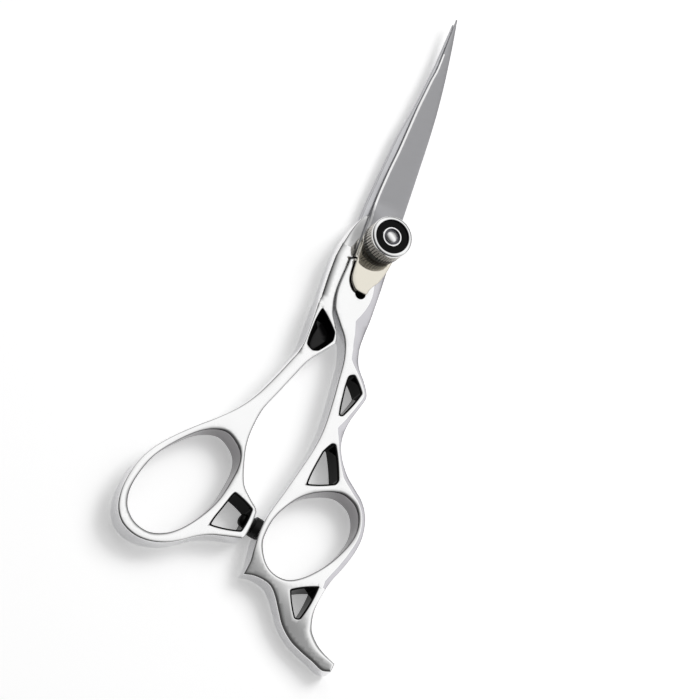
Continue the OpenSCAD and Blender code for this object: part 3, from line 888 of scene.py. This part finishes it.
def repaint(piece, material, test):
    """Gives a second material to the faces whose middles pass a test."""
    piece.data.materials.append(material)
    middles = np.array([face.center[:] for face in piece.data.polygons]) / MM
    last = len(piece.data.materials) - 1
    for face, chosen in zip(piece.data.polygons, test(middles[:, :2], middles[:, 2])):
        if chosen:
            face.material_index = last


# ---- Linings, washer and stop ----

def lining(node, body, top):
    """A window's black lining; top gives the handle's upper face, which the lining stays below."""
    outer, inner = rims(node, LINING_TOP)[:2]
    rim_list = [
        Rim(refine(outer, 0.5), SQUARE),
        Rim(refine(inner, 0.5), even(0.14, 0.14, 0.1, 0.1)),
    ]
    below = HANDLE_TOP - LINING_TOP
    piece = slab(node + "_skin", rim_list, lambda xy: top(xy) - below, flat(below))
    place(piece, body, "black_lacquer", LACQUER_AND_SLOT_SHADE, node)


def tail_washer():
    """Its tail dips into the shank's slot."""
    outer, hole = rims("tail_washer", WASHER_TOP)[:2]
    rim_list = [
        Rim(refine(outer, 0.4), even(0.22, 0.22, 0.05, 0.05)),
        Rim(refine(hole, 0.6), SQUARE),
    ]
    seat = lambda xy: HANDLE_TOP + 0.01 - 0.45 * smoothstep(-xy[:, 1], 6.5, 9)
    piece = slab("tail_washer_skin", rim_list, flat(WASHER_TOP), seat, 0.9)
    place(piece, "finger_half", "washer_steel", WASHER_STEEL, "tail_washer")


def turned_about(piece, origin, direction):
    """Stands a turned piece's axis along a direction through a point."""
    spin = Vector((0, 0, 1)).rotation_difference(Vector(direction)).to_matrix().to_4x4()
    piece.data.transform(Matrix.Translation(Vector(origin) * MM) @ spin)


STOP_TURN = math.radians(-7)
STOP_AXIS = Vector((math.cos(STOP_TURN), math.sin(STOP_TURN), 0))
STOP_LENGTH = 2.75  # with its foot in the tab


def rubber_stop():
    """A button with a narrower neck at the tab and a rounded face."""
    low, high = box_mm("rubber_stop")
    middle = (low + high) / 2
    r = (high[2] - low[2]) / 2
    seat = np.array([high[0] - STOP_LENGTH, middle[1] + 0.15, middle[2]])
    length = high[0] - seat[0] - 0.05
    profile = [
        (0, -0.3), (r * 0.7, -0.3), (r * 0.78, 0.1), (r * 0.8, 0.45), (r * 0.97, 0.6), (r, 0.8),
        (r, length - 0.5), (r * 0.96, length - 0.22), (r * 0.85, length - 0.06), (r * 0.6, length),
        (0, length),
    ]
    piece = lathe("rubber_stop_skin", profile, 48)
    turned_about(piece, seat, STOP_AXIS)
    place(piece, "thumb_half", "rubber", RUBBER, "rubber_stop")


def stop_stem():
    """A domed barb on a plain stem."""
    low, high = box_mm("stop_stem")
    middle = (low + high) / 2
    end = high[0] - low[0] - 0.1
    profile = [
        (0, 0), (0.7, 0.05), (1.3, 0.3), (1.7, 0.75), (1.8, 1.15), (1.65, 1.5), (1.25, 1.7),
        (1.2, 1.9), (1.2, end), (0, end),
    ]
    piece = lathe("stop_stem_skin", profile, 40)
    turned_about(piece, (low[0] + 0.05, middle[1] + 0.2, middle[2]), STOP_AXIS)
    place(piece, "thumb_half", "rubber", RUBBER, "stop_stem")


# ---- Adjuster ----

FLUTES = 44
FLUTE_DEPTH = 0.4
LOWER_BAND = 0.45  # height of the plain band below the flutes
UPPER_BAND = 1.35  # and above them
FOOT_SHADE = 2.4  # height of the painted shade at the flutes' lower end


def knurl(angle, r, z):
    """Fine straight flutes between the two plain bands."""
    base, top = KNOB_LOW[2] + LOWER_BAND, KNOB_HIGH[2] - UPPER_BAND
    height = np.array(z)
    inside = smoothstep(height, base, base + 0.25) * (1 - smoothstep(height, top - 0.25, top))
    if r < KNOB_HIGH[0] - 0.7:
        return r
    wave = abs(math.sin(angle * FLUTES / 2)) ** 0.7
    return r - FLUTE_DEPTH * float(inside) * (1 - wave)


def knob_barrel():
    """Fluted between two plain bands, with a rounded brow and a hollow for the face."""
    r, base, top = KNOB_HIGH[0], KNOB_LOW[2], KNOB_HIGH[2]
    face, enamel_r = ENAMEL_TOP, ENAMEL_R
    sides = [(r - 0.06, z) for z in np.linspace(base + LOWER_BAND, top - UPPER_BAND, 12)]
    foot = [(enamel_r - 0.2, base + 0.2), (r - 0.75, base), (r - 0.4, base + 0.05), (r - 0.12, base + 0.3)]
    brow = [
        (r - 0.02, top - 1.2), (r, top - 1.0), (r, top - 0.55), (r - 0.06, top - 0.34),
        (r - 0.18, top - 0.18), (r - 0.36, top - 0.07), (r - 0.6, top - 0.01), (r - 0.75, top),
    ]
    lip = [
        (enamel_r + 0.12, top), (enamel_r + 0.03, top - 0.05), (enamel_r, top - 0.14),
        (enamel_r, face - 0.1),
    ]
    piece = lathe("knob_barrel_skin", foot + sides + brow + lip, FLUTES * 8, knurl)
    place(piece, "adjuster", "polished_steel", STEEL, "knob_barrel")
    side = lambda xy: np.linalg.norm(xy, axis=1) > r - 0.7
    groove = lambda xy: np.linalg.norm(xy, axis=1) < r - 0.27
    repaint(piece, KNURL, lambda xy, z: side(xy) & (z > base + 0.3) & (z < top - 0.5))
    # The lower part of the fluted side and the flutes' bottoms get the dark steel: painted shade.
    repaint(piece, KNURL_SHADE, lambda xy, z: side(xy) & (z < base + FOOT_SHADE))
    repaint(piece, KNURL_SHADE, lambda xy, z: side(xy) & groove(xy) & (z < top - UPPER_BAND))


def knob_face():
    """The enamel ring, the bright ring inside it and the domed cap."""
    face, enamel_r = ENAMEL_TOP, ENAMEL_R
    low, high = box_mm("knob_inner_ring")
    ring_r = high[0]
    profile = [
        (enamel_r, face - 0.3), (enamel_r, face - 0.06), (enamel_r - 0.1, face),
        (enamel_r - 0.5, face + 0.02), (ring_r + 0.4, face + 0.02), (ring_r, face - 0.02),
        (ring_r, face - 0.3),
    ]
    place(lathe("knob_enamel_skin", profile, 120), "adjuster", "knob_enamel", ENAMEL, "knob_enamel")

    inner = ring_r - 0.5
    profile = [
        (ring_r, face - 0.1), (ring_r, high[2] - 0.12), (ring_r - 0.1, high[2]), (inner + 0.12, high[2]),
        (inner, high[2] - 0.12), (inner, low[2] + 0.1),
    ]
    ring = lathe("knob_inner_ring_skin", profile, 96)
    place(ring, "adjuster", "polished_steel", STEEL, "knob_inner_ring")

    low, high = box_mm("knob_cap")
    cap_r, dome = high[0], high[2] - low[2]
    straight = 0.35  # share of the cap's height that is upright
    profile = [(cap_r, low[2]), (cap_r, low[2] + dome * straight)]
    profile += [
        (cap_r * math.cos(t), low[2] + dome * (straight + (1 - straight) * math.sin(t)))
        for t in np.radians([15, 30, 45, 60, 75, 90])
    ]
    place(lathe("knob_cap_skin", profile, 64), "adjuster", "polished_steel", STEEL, "knob_cap")


def pocket():
    """A lacquered bowl: steep walls that run into a dished floor."""
    rim = through_and_blind("thumb_handle")[2][0]
    low, high = box_mm("pocket_enamel")
    depth = high[2] - low[2] - 0.9
    bowl = Rim(turn(rim, True), even(2.2, depth, 0, 0), profile="bowl")
    piece = slab("pocket_enamel_skin", [bowl], flat(high[2]), flat(low[2]), 0.6)
    place(piece, "thumb_half", "black_lacquer", POCKET_LACQUER, "pocket_enamel")


# ---- The object ----

finger_handle()
finger_blade()
thumb_handle()
thumb_neck()
thumb_blade()
for window in ("shank_window_lining", "ring_window_lining", "tang_window_lining"):
    lining(window, "finger_half", finger_top)
lining("tab_window_lining", "thumb_half", flat(HANDLE_TOP))
pocket()
tail_washer()
rubber_stop()
stop_stem()
knob_barrel()
knob_face()

# CAD nodes that are shown as they are.
KEPT = {
    # The slot lining's black is painted shade in the gap beside the washer.
    "slot_lining": LACQUER_AND_SLOT_SHADE, "pivot_screw": SATIN, "glide_washer": NYLON, "click_plate": SPRING_STEEL_AND_EDGE_SHADE,
    "disc_spring": SPRING_STEEL_AND_EDGE_SHADE, "knob_insert": BRASS, "knob_recess": RECESS_SHADE,
}
for node, material in KEPT.items():
    piece = frame["nodes"][node]
    piece.data.materials.clear()
    piece.data.materials.append(material)


# ---- Camera ----

PIXELS_PER_MM = 3.74
IMAGE_SIZE = 700
DISTANCE = 6000
FAR = 40  # metres
SENSOR = 36
AIM = (1.5, -31.6, 6.0)  # what the middle of the picture shows


def camera():
    """A long lens that looks down at TILT, turned so that PLAN_UP points as it does in the picture."""
    nx, ny = PLAN_UP
    lift = Vector((nx * math.cos(TILT), ny * math.cos(TILT), math.sin(TILT)))
    side = Vector((-ny, nx, 0))
    back = Vector((-nx * math.sin(TILT), -ny * math.sin(TILT), math.cos(TILT)))
    right = lift * math.cos(UP_IN_IMAGE) - side * math.sin(UP_IN_IMAGE)
    up = lift * math.sin(UP_IN_IMAGE) + side * math.cos(UP_IN_IMAGE)
    data = bpy.data.cameras.new("camera")
    data.sensor_width = SENSOR
    data.lens = PIXELS_PER_MM * SENSOR * DISTANCE / IMAGE_SIZE
    data.clip_end = FAR
    cam = bpy.data.objects.new("camera", data)
    bpy.context.scene.collection.objects.link(cam)
    turn_to = Matrix((right, up, back)).transposed().to_4x4()
    cam.matrix_world = Matrix.Translation((Vector(AIM) + back * DISTANCE) * MM) @ turn_to
    bpy.context.scene.camera = cam


camera()


# ---- Floor and light ----

def floor():
    """Just below the handles' undersides, so that the two faces don't coincide."""
    half, low = 3000, -0.05
    verts = [(-half, -half, low), (half, -half, low), (half, half, low), (-half, half, low)]
    piece = mesh_object("floor", verts, [(0, 1, 2, 3)])
    piece.modifiers.clear()
    mat, _, shader = new_material("floor", (0.93, 0.93, 0.93), 0.0, 0.9)
    shader.inputs["Emission Color"].default_value = (1, 1, 1, 1)
    shader.inputs["Emission Strength"].default_value = 0.36
    piece.data.materials.append(mat)


def area_light(name, place_at, size, power):
    """A soft square lamp that points at the origin and isn't mirrored in the steel."""
    data = bpy.data.lights.new(name, "AREA")
    data.shape = "SQUARE"
    data.size = size
    data.energy = power
    lamp = bpy.data.objects.new(name, data)
    bpy.context.scene.collection.objects.link(lamp)
    lamp.location = place_at
    lamp.visible_glossy = False
    lamp.rotation_mode = "QUATERNION"
    lamp.rotation_quaternion = (-Vector(place_at)).to_track_quat("-Z", "Y")


def sky_band(tree, value, stops):
    """A brightness that follows stops of (value from -1 to 1, level)."""
    share = tree.nodes.new("ShaderNodeMapRange")
    share.inputs["From Min"].default_value = -1
    tree.links.new(value, share.inputs["Value"])
    band = tree.nodes.new("ShaderNodeValToRGB")
    elements = band.color_ramp.elements
    while len(elements) < len(stops):
        elements.new(0.5)
    for element, (at, level) in zip(elements, stops):
        element.position = (at + 1) / 2
        element.color = (level, level, level, 1)
    tree.links.new(share.outputs["Result"], band.inputs["Fac"])
    return band.outputs["Color"]


def world():
    """A studio with a wide bright wall and ceiling behind the shears, and a dark side behind the camera."""
    sky = bpy.data.worlds.new("studio")
    bpy.context.scene.world = sky
    sky.use_nodes = True
    tree = sky.node_tree
    background = tree.nodes["Background"]
    coords = tree.nodes.new("ShaderNodeTexCoord")
    behind = tree.nodes.new("ShaderNodeVectorMath")
    behind.operation = "DOT_PRODUCT"
    behind.inputs[1].default_value = (*PLAN_UP, 0)
    tree.links.new(coords.outputs["Generated"], behind.inputs[0])
    along = sky_band(tree, behind.outputs["Value"], [
        (-1, 0.1), (-0.5, 0.07), (-0.2, 0.12), (0, 0.36), (0.2, 0.72),
        (0.36, 0.98), (0.48, 1.12), (0.58, 1.0), (0.72, 0.6), (0.9, 0.42), (1, 0.25),
    ])
    height = tree.nodes.new("ShaderNodeSeparateXYZ")
    tree.links.new(coords.outputs["Generated"], height.inputs[0])
    upward_share = sky_band(tree, height.outputs["Z"], [
        (-1, 0.1), (0, 0.12), (0.14, 0.2), (0.36, 0.6), (0.55, 0.85), (0.78, 1), (1, 1),
    ])
    both = tree.nodes.new("ShaderNodeVectorMath")
    both.operation = "MULTIPLY"
    tree.links.new(along, both.inputs[0])
    tree.links.new(upward_share, both.inputs[1])
    tree.links.new(both.outputs["Vector"], background.inputs["Color"])
    background.inputs["Strength"].default_value = 1.0


floor()
world()
area_light("key", (0.55, 0.85, 0.95), 0.7, 11)
bpy.context.scene.view_settings.view_transform = "Standard"
